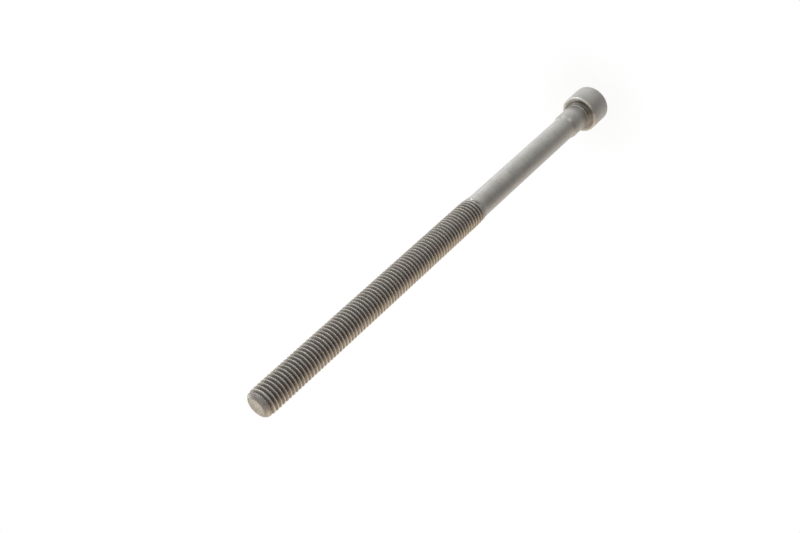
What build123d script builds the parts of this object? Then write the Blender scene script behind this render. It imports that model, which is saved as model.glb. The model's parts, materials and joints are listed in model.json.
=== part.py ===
from build123d import *
from math import radians, sqrt, tan
import os

# A cylinder head bolt: one piece of steel, headed, turned and thread-rolled.
# Sizes are in millimetres. The bolt stands on its head: Z = 0 is the head's end
# face, and +Z runs along the bolt's axis to its tip.

# Thread. The plain cylinder here is the outside of the thread's crests.
thread_diameter = 12.0
thread_length = 132.2
thread_run_out = 4.4
tip_diameter = 10.2
tip_taper_length = 5.0
tip_rounding = 1.7

# Shank, as thick as the blank that the thread was rolled on
length_under_head = 220.0
shank_diameter = 10.8

# Guide collar under the head, which centres the bolt in its hole
collar_diameter = 12.0
collar_length = 11.8
collar_taper_length = 1.2

# Head
head_diameter = 18.0
head_height = 12.0
head_end_rounding = 1.2
head_rim_chamfer = 0.4
under_head_fillet = 0.85

# Twelve-point drive socket: three squares, each turned thirty degrees from the last
socket_across_corners = 11.8
socket_depth = 7.0
socket_squares = 3
socket_lead_in = 0.25
socket_floor_angle = 120.0

# Places along the axis
bearing_face_z = head_height
collar_end_z = bearing_face_z + collar_length
shank_start_z = collar_end_z + collar_taper_length
tip_z = bearing_face_z + length_under_head
thread_start_z = tip_z - thread_length
shank_end_z = thread_start_z - thread_run_out
tip_taper_z = tip_z - tip_taper_length

# Half sizes
head_radius = head_diameter / 2
collar_radius = collar_diameter / 2
shank_radius = shank_diameter / 2
thread_radius = thread_diameter / 2
tip_radius = tip_diameter / 2
socket_corner_radius = socket_across_corners / 2
socket_square_side = socket_across_corners / sqrt(2)
socket_valley_radius = socket_square_side / sqrt(3)
socket_mouth_radius = socket_corner_radius + socket_lead_in


def ring_at(z):
    """A test for the circular edges that lie round the axis at height z."""
    return lambda edge: edge.geom_type == GeomType.CIRCLE and abs(edge.arc_center.Z - z) < 1e-4


with BuildPart() as head_bolt:
    # The turned form: half of the bolt's long section, spun about its axis
    with BuildSketch(Plane.XZ):
        with BuildLine():
            Polyline(
                (0, 0),
                (head_radius, 0),
                (head_radius, bearing_face_z),
                (collar_radius, bearing_face_z),
                (collar_radius, collar_end_z),
                (shank_radius, shank_start_z),
                (shank_radius, shank_end_z),
                (thread_radius, thread_start_z),
                (thread_radius, tip_taper_z),
                (tip_radius, tip_z),
                (0, tip_z),
                close=True,
            )
        make_face()
    revolve(axis=Axis.Z)

    # Edges: the head's rounded end, the bearing face's rim and root, the rounded tip
    end_ring = head_bolt.edges().filter_by(ring_at(0))
    bearing_rings = head_bolt.edges().filter_by(ring_at(bearing_face_z)).sort_by(SortBy.RADIUS)
    tip_ring = head_bolt.edges().filter_by(ring_at(tip_z))
    fillet(end_ring, radius=head_end_rounding)
    chamfer(bearing_rings[-1], length=head_rim_chamfer)
    fillet(bearing_rings[0], radius=under_head_fillet)
    fillet(tip_ring, radius=tip_rounding)

    # The socket: a star of squares, with a cone at its floor and a cone at its mouth
    with BuildSketch(Plane.XY):
        with PolarLocations(0, socket_squares, angular_range=90):
            Rectangle(socket_square_side, socket_square_side)
    extrude(amount=socket_depth, mode=Mode.SUBTRACT)
    with Locations((0, 0, socket_depth)):
        Cone(
            bottom_radius=socket_valley_radius,
            top_radius=0,
            height=socket_valley_radius / tan(radians(socket_floor_angle / 2)),
            align=(Align.CENTER, Align.CENTER, Align.MIN),
            mode=Mode.SUBTRACT,
        )
    Cone(
        bottom_radius=socket_mouth_radius,
        top_radius=socket_valley_radius,
        height=socket_mouth_radius - socket_valley_radius,
        align=(Align.CENTER, Align.CENTER, Align.MIN),
        mode=Mode.SUBTRACT,
    )

head_bolt.part.label = "head_bolt"

os.makedirs("parts", exist_ok=True)
export_step(head_bolt.part, "parts/head_bolt.step")
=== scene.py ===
# %% [markdown]
# # A cylinder head bolt
#
# A long, slim bolt that clamps an engine's cylinder head to its block. It is forged and rolled from one bar of
# alloy steel, then phosphated and oiled, which leaves it satin grey. It stands on its head here, on a plain
# pale floor, with its thread upward. Everything below builds one closed mesh and one finish, then the little
# studio round it. Lengths that describe the bolt are in millimetres, and are scaled to metres once.

# %% Setting up
import bmesh
import bpy
import json
import math
from mathutils import Matrix, Vector


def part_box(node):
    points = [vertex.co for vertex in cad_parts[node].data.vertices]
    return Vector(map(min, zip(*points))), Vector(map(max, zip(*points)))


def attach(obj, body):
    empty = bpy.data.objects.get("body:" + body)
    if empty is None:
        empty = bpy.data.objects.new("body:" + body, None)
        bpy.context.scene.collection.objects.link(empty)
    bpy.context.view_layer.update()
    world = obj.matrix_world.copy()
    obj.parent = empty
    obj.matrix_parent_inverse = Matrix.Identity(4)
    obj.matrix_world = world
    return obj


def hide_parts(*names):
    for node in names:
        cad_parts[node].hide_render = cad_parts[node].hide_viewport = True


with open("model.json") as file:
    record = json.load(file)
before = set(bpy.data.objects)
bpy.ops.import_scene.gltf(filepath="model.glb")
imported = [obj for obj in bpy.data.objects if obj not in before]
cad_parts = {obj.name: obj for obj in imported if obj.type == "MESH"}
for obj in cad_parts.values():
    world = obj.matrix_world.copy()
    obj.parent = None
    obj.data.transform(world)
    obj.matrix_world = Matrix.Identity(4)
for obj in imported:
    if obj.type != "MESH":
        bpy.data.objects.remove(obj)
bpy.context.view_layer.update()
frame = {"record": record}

MM = 0.001
low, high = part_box("head_bolt")
mounts = {mount["name"]: mount for mount in frame["record"]["mounts"]}
print("the bolt stands", round(high.z / MM, 2), "mm tall")
print("its head is", round((high.x - low.x) / MM, 2), "mm across")

# %% [markdown]
# ## Where things are along the bolt
#
# Two heights come from the frame itself: the tip, at the top, and the bearing face, which is the side of the
# head that presses on the engine. The radii of the head, the collar and the thread come from it too. The rest
# are ordinary proportions of a stretch bolt with a rolled thread: the shank is as thick as the blank was before
# rolling, so it is thinner than the thread's crests and thicker than its roots.

# %% Main measures
tip_z = high.z / MM
bearing_z = mounts["bearing_face"]["pos_m"][2] / MM
head_radius = high.x / MM
collar_radius = mounts["collar"]["dims"]["r_mm"]
crest_radius = mounts["thread"]["dims"]["r_mm"]
shank_radius = 5.4
pitch = 1.75
depth_in_pitches = 0.6134
thread_depth = depth_in_pitches * pitch
root_radius = crest_radius - thread_depth
steps_per_turn = 72
print("bearing face at", bearing_z, "mm, thread roots", round(root_radius, 3), "mm from the axis")

# %% [markdown]
# ## The thread
#
# A rolled metric thread has flanks sixty degrees apart, a narrow flat crest and a rounded root. It could be cut
# with a boolean, or drawn with a texture, but a swept line gives clean faces and a true outline. One tooth is
# drawn as a line, from the middle of one root to the middle of the next. The line is swept through one full
# turn while it climbs by one pitch. That single turn is then repeated up the bolt and welded, so the helix runs
# on without a seam, and it is right-handed, as nearly every bolt is.

# %% One tooth
def draw_line(bm, places):
    """A line of straight edges through (radius, height) places, in millimetres, in the XZ plane."""
    corners = [bm.verts.new((radius * MM, 0, height * MM)) for radius, height in places]
    for pair in zip(corners, corners[1:]):
        bm.edges.new(pair)
    return corners

def round_corners(bm, corners, reach, segments):
    """Rounds drawn corners, each cut back by reach millimetres."""
    bmesh.ops.bevel(bm, geom=corners, offset=reach * MM, offset_type="OFFSET", affect="VERTICES",
                    segments=segments, profile=0.5, material=-1)

root_flat = pitch / 6
crest_flat = pitch / 8
flank_rise = (pitch - root_flat - crest_flat) / 2
flank_start = root_flat / 2
flank_top = flank_start + flank_rise
tooth = [
    (root_radius, 0),
    (root_radius, flank_start),
    (crest_radius, flank_top),
    (crest_radius, pitch - flank_start - flank_rise),
    (root_radius, pitch - flank_start),
    (root_radius, pitch),
]
bolt = bmesh.new()
corners = draw_line(bolt, tooth)
root_rounding = 0.11
crest_rounding = 0.1
round_corners(bolt, [corners[1], corners[4]], root_rounding, 2)
round_corners(bolt, [corners[2], corners[3]], crest_rounding, 2)
flank_angle = math.degrees(2 * math.atan2(flank_rise, thread_depth))
print("one tooth is", len(bolt.verts) - 1, "edges, with flanks", round(flank_angle, 1), "degrees apart")

# %% One turn
turn = 2 * math.pi
bmesh.ops.spin(bolt, geom=bolt.verts[:] + bolt.edges[:], cent=(0, 0, 0), axis=(0, 0, 1), angle=turn,
               dvec=(0, 0, pitch * MM / steps_per_turn), steps=steps_per_turn, use_merge=False)
print("one turn of thread has", len(bolt.faces), "faces")

# %% [markdown]
# The turn is copied up the bolt with one pitch between copies, and the copies are welded where they meet. A
# helix has slanting ends, so a few turns too many are made, and both ends are cut square: near the tip, and a
# little way down the shank, where the teeth will have faded out.

# %% Repeating the turn, and cutting the ends square
run_out_start = tip_z - 137.6
run_out_end = tip_z - 128.2
top_cut = tip_z - 0.12
first_z = tip_z - 140.3
spare_turns = 3
weld_gap = 0.002
turns = math.ceil((top_cut - run_out_start) / pitch) + spare_turns
one_turn = bolt.verts[:] + bolt.edges[:] + bolt.faces[:]
bmesh.ops.translate(bolt, verts=bolt.verts[:], vec=(0, 0, first_z * MM))
for number in range(1, turns):
    copy = bmesh.ops.duplicate(bolt, geom=one_turn)["geom"]
    copied = [item for item in copy if isinstance(item, bmesh.types.BMVert)]
    bmesh.ops.translate(bolt, verts=copied, vec=(0, 0, number * pitch * MM))
bmesh.ops.remove_doubles(bolt, verts=bolt.verts[:], dist=weld_gap * MM)
for height, above, below in ((top_cut, True, False), (run_out_start, False, True)):
    everything = bolt.verts[:] + bolt.edges[:] + bolt.faces[:]
    bmesh.ops.bisect_plane(bolt, geom=everything, dist=0.0001 * MM, plane_co=(0, 0, height * MM),
                           plane_no=(0, 0, 1), clear_outer=above, clear_inner=below)
print(turns, "turns make", len(bolt.faces), "faces")

# %% [markdown]
# At the shank end the rolling dies let go of the bar. The steel swells from the shank's size to the thread's
# over about five turns, and the groove ends within about one turn, first at half its depth and then
# altogether. At the tip the bar has a taper and a rounded edge, and the groove starts a little way in. Booleans
# would leave slivers at both ends, so each point is moved towards or away from the axis instead. How far
# depends only on its height and on the height of the nearest groove. Each point also keeps how deep in a groove
# it lies, from 0 to 1, because the finish is different there.

# %% The outside of the steel
tip_flat_radius = 3.6
tip_rounding = 1.75
tip_taper = 4.0
slow_start = 1.5
slow_end = 2.5

def share_of_way(value, start, end):
    """0 before start, 1 after end, and a straight slope between."""
    return min(max((value - start) / (end - start), 0), 1)

def ease(value, start, end):
    """0 before start, 1 after end, and a smooth slope between."""
    share = share_of_way(value, start, end)
    return share * share * (3 - 2 * share)

def outside(height):
    """How far out the steel reaches at this height, were there no grooves, in millimetres."""
    depth = tip_z - height
    share = share_of_way(height, run_out_start, run_out_end)
    swelling = 1 - (1 - share ** slow_start) ** slow_end
    swollen = shank_radius + (crest_radius - shank_radius) * swelling
    sunk = max(tip_rounding - depth, 0)
    rounded = tip_flat_radius + math.sqrt(max(tip_rounding ** 2 - sunk ** 2, 0))
    tapered = (crest_radius - tip_flat_radius - tip_rounding) * min(depth / tip_taper, 1)
    return min(swollen, rounded + tapered)

print("the tip's flat is", 2 * tip_flat_radius, "mm across, inside an edge rounded by", tip_rounding, "mm")

# %% Fading the teeth out
first_bite = (tip_z - 133.86, tip_z - 133.66)
full_bite = (tip_z - 132.4, tip_z - 132.0)
first_share = 0.55
last_share = 0.45
tip_start = (1.2, 2.0)

def groove_middle(angle, height):
    """The height of the nearest groove's middle, at this angle round the bolt."""
    share = angle / turn % 1
    return first_z + pitch * (round((height - first_z) / pitch - share) + share)

hollow = bolt.verts.layers.float.new("groove")
for vert in bolt.verts:
    height = vert.co.z / MM
    radius = math.hypot(vert.co.x, vert.co.y) / MM
    middle = groove_middle(math.atan2(vert.co.y, vert.co.x), height)
    started = first_share * ease(middle, *first_bite) + last_share * ease(middle, *full_bite)
    rolled = started * ease(tip_z - middle, *tip_start)
    limit = outside(height)
    wanted = limit - rolled * max(limit - radius, 0)
    vert[hollow] = (limit - wanted) / thread_depth
    vert.co.x *= wanted / radius
    vert.co.y *= wanted / radius
open_edges = sum(1 for edge in bolt.edges if edge.is_boundary)
print(open_edges, "open edges are left, round the two ends of the thread")

# %% [markdown]
# ## Shank, collar and head
#
# Below the thread the bolt is plain turned work: a shank, a guide collar that centres it in its hole, a small
# fillet under the head where the clamping stress is highest, and the head. Cylinders joined one on another
# would leave hidden faces inside, so half of the outline is drawn as one line, its corners are rounded, and it
# is swept all the way round. The lowest ring is the head's end face, which the bolt stands on.

# %% Turning the plain part
collar_top = bearing_z + 11.8
cone_top = collar_top + 1.2
undercut_radius = collar_radius - 0.15
fillet_radius = collar_radius + 0.6
head_chamfer = 0.5
end_chamfer = 0.75
end_ring_radius = 6.6
outline = [
    (shank_radius, run_out_start),
    (shank_radius, run_out_start - 1.5),
    (shank_radius, run_out_start - 8.0),
    (shank_radius, collar_top + 6.0),
    (shank_radius, collar_top + 2.0),
    (shank_radius, cone_top),
    (collar_radius, collar_top),
    (collar_radius, bearing_z + 1.7),
    (undercut_radius, bearing_z + 1.3),
    (undercut_radius, bearing_z + 0.8),
    (fillet_radius, bearing_z),
    (head_radius - 0.45, bearing_z),
    (head_radius, bearing_z - head_chamfer),
    (head_radius, end_chamfer),
    (head_radius - end_chamfer, 0.0),
    (end_ring_radius, 0.0),
]
plain = bmesh.new()
corners = draw_line(plain, outline)
round_corners(plain, corners[5:6], 0.3, 3)      # where the cone meets the shank
round_corners(plain, corners[6:7], 0.2, 2)      # where the cone meets the collar
round_corners(plain, corners[7:8], 0.08, 1)     # the collar's lower edge
round_corners(plain, corners[8:11], 0.2, 3)     # the undercut and the fillet
round_corners(plain, corners[11:13], 0.16, 2)   # the edge of the bearing face
round_corners(plain, corners[13:15], 0.42, 3)   # the edge of the end face
bmesh.ops.spin(plain, geom=plain.verts[:] + plain.edges[:], cent=(0, 0, 0), axis=(0, 0, 1), angle=turn,
               steps=steps_per_turn, use_merge=True)
print("the plain part has", len(plain.faces), "faces")

# %% [markdown]
# The head is driven by a twelve-point socket, the shape that three squares make when each is turned thirty
# degrees from the last. A boolean would cut it too, but would leave long thin faces round its mouth. The end
# face's inner ring is carried inward instead and pulled on to that star, down the mouth's small bevel, along
# the walls, and then to the punched cone at the bottom.

# %% Helpers for carrying a ring
def star(angle, corner):
    """The radius of a twelve-point star at this angle, for a star with its points at corner."""
    past_point = abs((math.degrees(angle) + 15) % 30 - 15)
    return corner * math.cos(math.radians(45)) / math.cos(math.radians(45 - past_point))

def ring_at(bm, height):
    """The open ring of edges at this height, in millimetres."""
    rings = [edge for edge in bm.edges if edge.is_boundary]
    return [edge for edge in rings if abs(edge.verts[0].co.z / MM - height) < 0.01]

def carry(bm, ring, radius_at, height):
    """Extrudes an open ring and moves the new one to radius_at(angle) and this height, in millimetres."""
    made = bmesh.ops.extrude_edge_only(bm, edges=ring)["geom"]
    for vert in [item for item in made if isinstance(item, bmesh.types.BMVert)]:
        angle = math.atan2(vert.co.y, vert.co.x)
        radius = radius_at(angle)
        vert.co = Vector((radius * math.cos(angle), radius * math.sin(angle), height)) * MM
    return [item for item in made if isinstance(item, bmesh.types.BMEdge)]

print("the end face's ring has", len(ring_at(plain, 0.0)), "edges")

# %% Sinking the socket
socket_corner = 5.9
socket_depth = 7.0
mouth_radius = socket_corner + 0.25
bevel_depth = 0.3
floor_rounding = 0.2
cone_radius = 2.4
cone_middle = socket_depth + 1.3
cone_end = socket_depth + 2.6
way_down = [
    (lambda angle: mouth_radius, 0.0),
    (lambda angle: min(mouth_radius, star(angle, socket_corner) + bevel_depth), 0.02),
    (lambda angle: star(angle, socket_corner), bevel_depth),
    (lambda angle: star(angle, socket_corner), socket_depth - floor_rounding),
    (lambda angle: star(angle, socket_corner) - floor_rounding, socket_depth),
    (lambda angle: cone_radius, cone_middle),
]
ring = ring_at(plain, 0.0)
for radius_at, height in way_down:
    ring = carry(plain, ring, radius_at, height)
floor_of_socket = bmesh.ops.edgeloop_fill(plain, edges=ring)["faces"]
bmesh.ops.poke(plain, faces=floor_of_socket, offset=0)
for vert in plain.verts:
    if math.hypot(vert.co.x, vert.co.y) < 0.01 * MM:
        vert.co.z = cone_end * MM
print("the socket is", socket_depth, "mm deep and", 2 * socket_corner, "mm across its points")

# %% [markdown]
# ## Joining the two
#
# The turned part is copied into the thread's mesh, and the two open rings at the start of the run-out are
# joined by a thin band of faces. The thread's ring has more points than the shank's, because it was cut
# through the helix, so a bridge is used and not a weld. The tip is closed last: the end of its rounded edge,
# then the end face that the bar was sheared to, which is hollow by a hair.

# %% Joining thread and shank
seam = 0.05
turned_mesh = bpy.data.meshes.new("turned_part")
plain.to_mesh(turned_mesh)
plain.free()
for vert in turned_mesh.vertices:
    if abs(vert.co.z / MM - run_out_start) < 0.01:
        vert.co.z -= seam * MM
bolt.from_mesh(turned_mesh)
bpy.data.meshes.remove(turned_mesh)
open_rings = [edge for edge in bolt.edges if edge.is_boundary]
meeting = [edge for edge in open_rings if abs(edge.verts[0].co.z / MM - run_out_start) < 2 * seam]
bmesh.ops.bridge_loops(bolt, edges=meeting)
print("the band between thread and shank joins", len(meeting), "edges")

# %% Closing the tip
edge_end = [(outside(tip_z - depth), depth) for depth in (0.06, 0.02, 0.0)]
hollow_face = [(3.2, 0.0), (2.3, 0.02), (1.0, 0.06)]
ring = ring_at(bolt, top_cut)
for radius, depth in edge_end + hollow_face:
    ring = carry(bolt, ring, lambda angle: radius, tip_z - depth)
tip_face = bmesh.ops.edgeloop_fill(bolt, edges=ring)["faces"]
bmesh.ops.poke(bolt, faces=tip_face, offset=0)
bmesh.ops.recalc_face_normals(bolt, faces=bolt.faces[:])
bmesh.ops.triangulate(bolt, faces=[face for face in bolt.faces if len(face.verts) > 4])
for face in bolt.faces:
    face.smooth = True
still_open = sum(1 for edge in bolt.edges if not edge.is_manifold)
print("the bolt has", len(bolt.faces), "faces and", still_open, "open edges")

# %% [markdown]
# The mesh is only a shape. An object gives it a name and a place in the scene. It stays at the origin, unturned
# and unscaled, because its place is in the mesh already. The operators above may leave the faces in another
# order each time, so they are first put in one order: by their first corner, then by their second.

# %% The mesh becomes an object
def show(name, mesh):
    """Makes an object of a mesh, at the origin, and puts it in the scene."""
    made = bpy.data.objects.new(name, mesh)
    bpy.context.scene.collection.objects.link(made)
    return made

bolt.verts.index_update()
points = len(bolt.verts)
bolt.faces.sort(key=lambda face: face.verts[0].index * points + face.verts[1].index)
bolt_mesh = bpy.data.meshes.new("head_bolt_surface")
bolt.to_mesh(bolt_mesh)
bolt.free()
steel_bolt = show("cylinder_head_bolt", bolt_mesh)
bpy.context.view_layer.update()
print("the bolt's object is", round(steel_bolt.dimensions.z / MM, 2), "mm tall")

# %% [markdown]
# ## A small kit for shader maths
#
# Nodes can be placed by hand in the editor, but a finish is easier to read as sums. The class below wraps a
# node's output, so that 1 - mask adds a Math node. Every other node comes from one function, which sets its
# choices first and then its values or links.

# %% Shader values that can be added and multiplied
class Socket:
    """A shader value that can be added, multiplied and so on with plain operators."""
    def __init__(self, tree, output):
        self.tree = tree
        self.output = output

    def _maths(self, operation, *values):
        return node(self.tree, "ShaderNodeMath", {"operation": operation}, *values)

    def __add__(self, other):
        return self._maths("ADD", self, other)

    def __radd__(self, other):
        return self._maths("ADD", other, self)

    def __sub__(self, other):
        return self._maths("SUBTRACT", self, other)

    def __rsub__(self, other):
        return self._maths("SUBTRACT", other, self)

    def __mul__(self, other):
        return self._maths("MULTIPLY", self, other)

    def __rmul__(self, other):
        return self._maths("MULTIPLY", other, self)

    def __truediv__(self, other):
        return self._maths("DIVIDE", self, other)

    def __rtruediv__(self, other):
        return self._maths("DIVIDE", other, self)

    def root(self):
        """The square root."""
        return self._maths("SQRT", self)

    def larger_of(self, other):
        """This or the other, whichever is larger."""
        return self._maths("MAXIMUM", self, other)

    def between(self, start, end, before, after):
        """The value before up to start, the value after from end on, and a smooth slope between."""
        settings = {"interpolation_type": "SMOOTHSTEP"}
        return node(self.tree, "ShaderNodeMapRange", settings, self, start, end, before, after)

    def above(self, start, end):
        """0 up to start, 1 from end on, and a smooth slope between."""
        return self.between(start, end, 0.0, 1.0)

    def below(self, start, end):
        """1 up to start, 0 from end on, and a smooth slope between."""
        return self.between(start, end, 1.0, 0.0)

def node(tree, kind, settings, *values, output=0, **named):
    """Adds one shader node: its settings first, then values or links for its inputs, by place or by name."""
    made = tree.nodes.new(kind)
    for name, value in settings.items():
        setattr(made, name, value)
    pairs = [(made.inputs[place], value) for place, value in enumerate(values) if value is not None]
    pairs += [(made.inputs[name.replace("_", " ")], value) for name, value in named.items()]
    for socket, value in pairs:
        if isinstance(value, Socket):
            tree.links.new(value.output, socket)
        else:
            socket.default_value = value
    return Socket(tree, made.outputs[output]) if len(made.outputs) else None

def all_outputs(value):
    """Every output of the node that this value comes from."""
    return [Socket(value.tree, output) for output in value.output.node.outputs]

def mix_colours(tree, share, first, second):
    """A colour that goes from first to second as share goes from 0 to 1."""
    number_and_vector_inputs = [None] * 5
    return node(tree, "ShaderNodeMix", {"data_type": "RGBA"}, share, *number_and_vector_inputs, first, second,
                output=2)

def fresh_material(name):
    """A material with an empty node tree, and that tree."""
    made = bpy.data.materials.new(name)
    made.use_nodes = True
    made.node_tree.nodes.clear()
    return made, made.node_tree

print("shader values can now be added, subtracted, multiplied and divided")

# %% [markdown]
# ## The finish
#
# Zinc or manganese phosphate is a thin grey crystal coat, and the oil that it soaks up gives it a satin shine.
# On the crests the rolling dies have burnished it, so it is smoother and lighter there. The grooves are darker
# and browner, partly for the oil they hold and partly as painted shade. The head and the collar keep faint
# rings from turning. Other marks are painted shade and painted highlights; the head's rim is partly worn, and
# its
# rounded end is darker. Image textures would need unwrapping, so all of it is worked out from where a point is:
# its distance from the tip, its height over the bearing face, its distance from the axis, and how deep in a
# groove it lies.

# %% Where a point is
steel, tree = fresh_material("phosphated_steel")
object_place = node(tree, "ShaderNodeTexCoord", {}, output=3)
place = node(tree, "ShaderNodeVectorMath", {"operation": "SCALE"}, object_place, Scale=1 / MM)
x, y, z = all_outputs(node(tree, "ShaderNodeSeparateXYZ", {}, place))
from_axis = (x * x + y * y).root()
from_tip = tip_z - z
over_bearing = z - bearing_z
depth = node(tree, "ShaderNodeAttribute", {"attribute_name": "groove"}, output=2)
print("places are read in millimetres, with", len(tree.nodes), "nodes so far")

# %% Parts of the thread and of the tip
in_thread = from_tip.below(131.8, 133.4)
groove = depth.above(0.08, 0.5)
crest = in_thread * depth.below(0.0, 0.25) * from_tip.above(2.2, 3.0)
first_turns = from_tip.above(125.0, 129.0) * from_tip.below(134.0, 135.5)
# Partly oil, partly painted shade: the last grooves, where the thread fades out, are darkened further.
last_grooves = groove * from_tip.between(124.0, 130.0, 0.0, 0.6)
# Painted shade: one side of the thread is darkened, a little more towards the shank.
painted_side_shade = in_thread * x.above(1.8, 3.8) * from_tip.between(30.0, 120.0, 0.22, 0.4)
end_face = from_tip.below(0.25, 0.6)
tip_edge = from_tip.below(1.4, 2.2) * (1.0 - 0.6 * end_face)
print("the thread's masks bring it to", len(tree.nodes), "nodes")

# %% [markdown]
# The corner under the head and the foot of the collar are painted dark, more on one side, and the darkening
# thins out along the collar: this is painted shade. A pale line at the top of the undercut and pale patches on
# the collar's cone are painted highlights. The head's rim is paler in places, partly from wear where the bolt
# has rubbed on others and partly as a painted highlight.

# %% Painted shade, painted highlights and wear round the head and the collar
# Painted shade: the corner under the head and the foot of the collar are darkened, more on one side.
shade_reach_side = y.below(-7.5, -4.5)
inner_ring = over_bearing.above(-0.3, -0.1) * (from_axis - shade_reach_side).below(6.7, 7.8)
# Painted highlight: a pale line round the collar, at the top of the undercut.
ring_edge = over_bearing.above(1.25, 1.45) * over_bearing.below(1.8, 2.1) * from_axis.above(5.7, 5.9)
shade_crescent_side = ((y - 0.2 * x) / from_axis).between(-0.85, -0.66, 1.0, 0.15)
along_collar = (0.35 + 0.45 * x.above(1.0, 4.0)) * over_bearing.below(2.5, 7.5)
in_corner = 0.65 * shade_crescent_side * over_bearing.below(1.1, 1.4)
painted_root_shade = inner_ring * (along_collar + in_corner) * (1.0 - ring_edge)
over_collar = z - collar_top
cone_band = over_collar.above(-0.3, 0.1) * over_collar.below(1.2, 1.5)
# Painted highlight: pale patches on the collar's cone, in the middle and on one side.
cone_highlight_middle = x.above(-0.9, 1.3) * x.below(1.3, 3.0)
painted_cone_highlight = cone_band * (cone_highlight_middle + x.between(-4.8, -3.0, 0.9, 0.0))
rim = over_bearing.above(-0.75, -0.4) * from_axis.above(8.0, 8.3)
# Partly wear, partly painted highlight: two stretches of the head's rim are paler.
rim_wear_and_highlight = rim * (x.above(-2.6, -0.4) + x.below(-5.2, -4.0))
turned = over_bearing.below(12.0, 14.0)
end_rounding = z.below(0.5, 1.6)
print("oil and wear bring it to", len(tree.nodes), "nodes")

# %% [markdown]
# An oily coat gets glossier where it is seen at a glancing angle. Layer Weight gives that angle. The gloss is
# weaker in the thread, in the grooves, at the tip's edge and where the corner under the head is painted dark.
# It makes the coat more metallic, and it also lifts the colour towards a pale grey, which is a painted sheen.

# %% Gloss
facing = node(tree, "ShaderNodeLayerWeight", {}, 0.5, output=1)
glance = facing.above(0.22, 0.62)
edge = facing.above(0.55, 0.8)
gloss = glance * (1.0 - 0.75 * in_thread) + 0.75 * in_thread * edge
for dulled in (painted_root_shade, 0.7 * groove, 0.6 * cone_band, 0.8 * first_turns, 0.8 * tip_edge):
    gloss = gloss * (1.0 - dulled)
print("gloss brings it to", len(tree.nodes), "nodes")

# %% [markdown]
# Five noises break the surface up: fine crystals, soft clouds in the coat, small blotches, rings that depend on
# height alone, as a lathe leaves them, and long streaks across the sheared end face.

# %% Grain
def noise(where, scale, detail, roughness):
    """A noise in space, with scale features to the millimetre."""
    return node(tree, "ShaderNodeTexNoise", {"noise_dimensions": "3D"}, where, Scale=scale, Detail=detail,
                Roughness=roughness)

crystals = noise(place, 9.0, 3.0, 0.6)
clouds = noise(place, 0.16, 4.0, 0.55)
blotches = noise(place, 0.65, 3.0, 0.6)
rings = node(tree, "ShaderNodeTexNoise", {"noise_dimensions": "1D"}, None, z, Scale=3.6, Detail=2.0,
             Roughness=0.7)
shear = node(tree, "ShaderNodeVectorMath", {"operation": "MULTIPLY"}, place, (0.9, 0.25, 0.25))
sheared = noise(shear, 1.0, 3.0, 0.6)
# Painted shade: one side of the tip's end face is darkened. The sheared streaks on it are grain.
tip_shade_side = y.above(-0.5, 3.0) * x.below(2.5, 4.0)
grime_and_shade = end_face * (0.13 * sheared.above(0.4, 0.7) + 0.4 * tip_shade_side)
print("grain brings it to", len(tree.nodes), "nodes")

# %% [markdown]
# The colour is built like paint, in layers over the grey coat. Each layer has a share, which says where and how
# strongly it covers what is under it, and a colour of its own.

# %% Colour
dark_coat = (0.265, 0.257, 0.25, 1)
light_coat = (0.31, 0.301, 0.292, 1)
painted_sheen_coat = (0.5, 0.49, 0.48, 1)
rolled_coat = (0.34, 0.32, 0.305, 1)
burnished_coat = (0.50, 0.48, 0.46, 1)
side_shade_colour = (0.12, 0.1, 0.09, 1)
groove_oil_and_shade = (0.17, 0.142, 0.128, 1)
run_out_oil_and_shade = (0.06, 0.05, 0.042, 1)
root_shade_colour = (0.05, 0.04, 0.03, 1)
rim_wear_and_highlight_colour = (0.60, 0.59, 0.57, 1)
painted_highlight_colour = (0.74, 0.72, 0.69, 1)
darker_end_colour = (0.11, 0.105, 0.1, 1)
ring_coat = (0.12, 0.115, 0.11, 1)
blotched_coat = (0.14, 0.13, 0.12, 1)
brown_grime_and_shade = (0.2, 0.17, 0.14, 1)
layers = [
    # Painted sheen: at glancing angles the colour is lifted towards a pale grey.
    (gloss * 0.6, painted_sheen_coat),
    (in_thread, rolled_coat),
    (crest, burnished_coat),
    # Painted shade on one side of the thread.
    (painted_side_shade, side_shade_colour),
    # Partly oil, partly painted shade: the grooves are darker and browner.
    (groove, groove_oil_and_shade),
    # Partly oil, partly painted shade in the last grooves.
    (last_grooves, run_out_oil_and_shade),
    # Painted shade under the head and along the foot of the collar.
    (painted_root_shade * 0.9, root_shade_colour),
    # Partly wear, partly painted highlight on the head's rim.
    (rim_wear_and_highlight * (0.5 + 0.5 * blotches.above(0.4, 0.6)), rim_wear_and_highlight_colour),
    # Painted highlight at the top of the undercut.
    (ring_edge * 0.95, painted_highlight_colour),
    # Painted highlight on the collar's cone.
    (painted_cone_highlight * 0.45, painted_highlight_colour),
    # The head's rounded end edge, at the bottom, is darker.
    (end_rounding * 0.35, darker_end_colour),
    (turned * rings.above(0.35, 0.7) * 0.28, ring_coat),
    (blotches.above(0.45, 0.75) * 0.3, blotched_coat),
    # Grain streaks and painted shade on the tip's end face.
    (grime_and_shade, brown_grime_and_shade),
]
coat = mix_colours(tree, clouds.above(0.35, 0.65), dark_coat, light_coat)
for share, colour in layers:
    coat = mix_colours(tree, share, coat, colour)
print("the colour has", len(layers), "layers over the coat")

# %% [markdown]
# Oiled phosphate is a rough coat over metal, so it is only a little metallic, and more so where it is glossy.
# The grain also raises the surface by about a thousandth of a millimetre, through a Bump node, since real
# geometry that small would need millions of faces.

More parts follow.
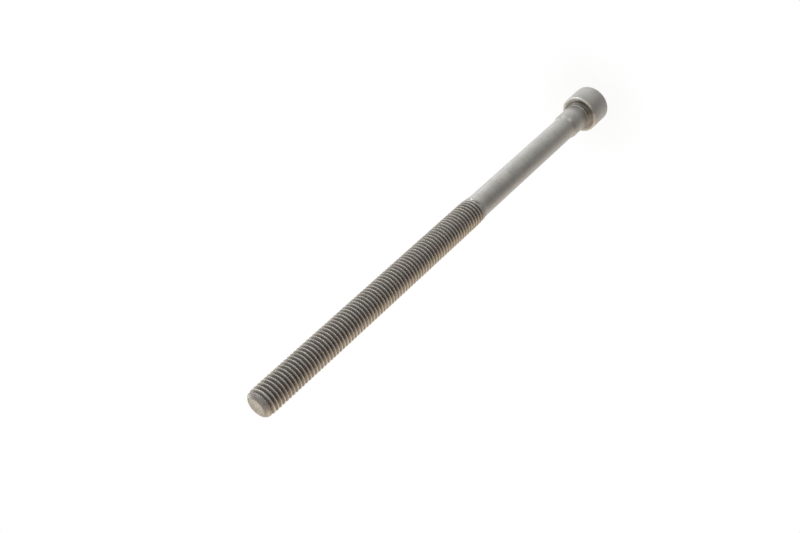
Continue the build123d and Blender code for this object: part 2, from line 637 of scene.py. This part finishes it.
# %% Surface
rough = 0.35 + clouds.above(0.3, 0.7) * 0.06 + in_thread * 0.13 + groove * 0.04 + painted_root_shade * 0.15
metal = 0.06 + 0.45 * gloss + 0.06 * crest
relief = 0.15 * crystals * (1.0 - in_thread) + turned * rings + 0.4 * end_face * sheared
bump = node(tree, "ShaderNodeBump", {}, Strength=0.1, Distance=0.008 * MM, Height=relief)
surface = node(tree, "ShaderNodeBsdfPrincipled", {}, Base_Color=coat, Roughness=rough, Metallic=metal,
               Normal=bump)
node(tree, "ShaderNodeOutputMaterial", {}, surface)
bolt_mesh.materials.append(steel)
print("the finish has", len(tree.nodes), "nodes")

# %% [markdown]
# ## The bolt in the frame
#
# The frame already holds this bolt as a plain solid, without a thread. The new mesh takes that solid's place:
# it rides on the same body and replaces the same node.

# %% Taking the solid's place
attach(steel_bolt, "root")
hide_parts("head_bolt")
print(steel_bolt.name, "replaces head_bolt on the body root")

# %% [markdown]
# ## Floor, light and camera
#
# The floor is one broad, plain sheet. Lighting it until it is white would burn out the bolt as well, so it is a
# pale, dull paper that only shows white to the camera and to mirrored rays. Round the bolt's foot a few
# hundredths of the paper's own shade are left in, and they keep its shadow.

# %% Floor
def looked_at(tree):
    """1 where the camera sees a surface, directly, mirrored in metal or through glass, and 0 elsewhere."""
    path = node(tree, "ShaderNodeLightPath", {}).output.node
    names = ("Is Camera Ray", "Is Glossy Ray", "Is Transmission Ray")
    straight, mirrored, through = (Socket(tree, path.outputs[name]) for name in names)
    return straight.larger_of(mirrored).larger_of(through)

white = (1, 1, 1, 1)
paper_grey = (0.75, 0.75, 0.75, 1)
shadow_ends = (0.010, 0.035)
sheet = bmesh.new()
bmesh.ops.create_grid(sheet, x_segments=1, y_segments=1, size=4.0)
floor_mesh = bpy.data.meshes.new("pale_floor")
sheet.to_mesh(floor_mesh)
sheet.free()
floor = show("pale_floor", floor_mesh)
paper, tree = fresh_material("pale_paper")
lit = node(tree, "ShaderNodeBsdfDiffuse", {}, paper_grey)
bright = node(tree, "ShaderNodeEmission", {}, white, 1.0)
spot = node(tree, "ShaderNodeTexCoord", {}, output=3)
away = node(tree, "ShaderNodeVectorMath", {"operation": "LENGTH"}, spot, output=1)
whiteness = looked_at(tree) * away.between(*shadow_ends, 0.93, 1.0)
node(tree, "ShaderNodeOutputMaterial", {}, node(tree, "ShaderNodeMixShader", {}, whiteness, lit, bright))
floor_mesh.materials.append(paper)
print("the floor is", round(floor.dimensions.x, 1), "m across")

# %% [markdown]
# A round bar shows its lamps as stripes along its length, so the light is made of eight small soft lamps set
# round it. A cool key lamp and a low one beside it light the bright side. Warm lamps behind and on the far side
# draw the edges, and two weak ones, in front and above, fill the dark stripe between. They are square area
# lamps, which give soft stripes and soft shadows. Two stand low and near, and light the head's end a little
# more than the tip. The room is nearly dark, and white only where the camera or a mirrored ray meets it.

# %% Light
lamp_aim = Vector((0, 0, 0.13))
usual = {"distance": 0.65, "size": 0.22}
low_and_near = {"distance": 0.331, "size": 0.14}

def soft_lamp(name, round_from_front, height, watts, colour, distance, size):
    """A square lamp aimed at the bolt, so many degrees round from the front and above the level."""
    lamp = bpy.data.lights.new(name, "AREA")
    lamp.shape = "SQUARE"
    lamp.size = size
    lamp.energy = watts
    lamp.color = colour
    across = math.radians(round_from_front)
    rise = math.radians(height)
    towards = Vector((math.cos(rise) * math.sin(across), -math.cos(rise) * math.cos(across), math.sin(rise)))
    holder = show(name, lamp)
    holder.location = lamp_aim + distance * towards
    holder.rotation_euler = (-towards).to_track_quat("-Z", "Y").to_euler()
    holder.visible_camera = False
    print(name, "gives", watts, "W from", round_from_front, "degrees round and", height, "up")

soft_lamp("key", 65, 0, 1.7, (0.8, 0.95, 1.0), **usual)
soft_lamp("low_key", 80, -15, 1.26, (1.0, 0.97, 0.9), **low_and_near)
soft_lamp("back", 150, 28, 1.58, (1.0, 0.94, 0.76), **usual)
soft_lamp("far_back", 180, 28, 0.56, (1.0, 0.91, 0.74), **usual)
soft_lamp("far_side", -115, 28, 2.5, (1.0, 0.84, 0.59), **usual)
soft_lamp("low_rim", -100, -15, 0.23, (1.0, 0.68, 0.4), **low_and_near)
soft_lamp("front", 0, 55, 0.56, (1.0, 0.89, 0.77), **usual)
soft_lamp("top", 0, 80, 0.42, (1.0, 0.89, 0.9), **usual)

# %% Room
world = bpy.data.worlds.new("room")
world.use_nodes = True
bpy.context.scene.world = world
room = world.node_tree
room.nodes.clear()
faint = node(room, "ShaderNodeBackground", {}, (0.9, 0.93, 1.0, 1), 0.01)
plain_white = node(room, "ShaderNodeBackground", {}, white, 1.0)
sky = node(room, "ShaderNodeMixShader", {}, looked_at(room), faint, plain_white)
node(room, "ShaderNodeOutputWorld", {}, sky)
print("the room has", len(room.nodes), "nodes")

# %% [markdown]
# The camera looks down on the bolt from in front of it and above its tip. It is rolled over on its side, so
# that the bolt runs across the view from the tip, near and low on the left, to the head, far and high on the
# right. It is placed by what it aims at, its distance and three angles, which are easier to change than a
# matrix.

# %% Camera
camera_aim = Vector((0.0030889, 0, 0.1458257))
camera_distance = 0.4182451
camera_round = math.radians(-0.5109)
camera_rise = math.radians(34.0782)
camera_roll = math.radians(-131.9291)
lens_data = bpy.data.cameras.new("studio_camera")
lens_data.lens = 46.91
lens_data.sensor_width = 36.0
lens_data.clip_start = 0.01
camera = show("studio_camera", lens_data)
level = math.radians(90)
pose = Matrix.Rotation(camera_round, 4, "Z") @ Matrix.Rotation(level - camera_rise, 4, "X")
pose = pose @ Matrix.Rotation(camera_roll, 4, "Z") @ Matrix.Translation((0, 0, camera_distance))
camera.matrix_world = Matrix.Translation(camera_aim) @ pose
bpy.context.scene.camera = camera
bpy.context.scene.view_settings.view_transform = "Standard"
print("the camera is", round(camera_distance, 3), "m from what it aims at")
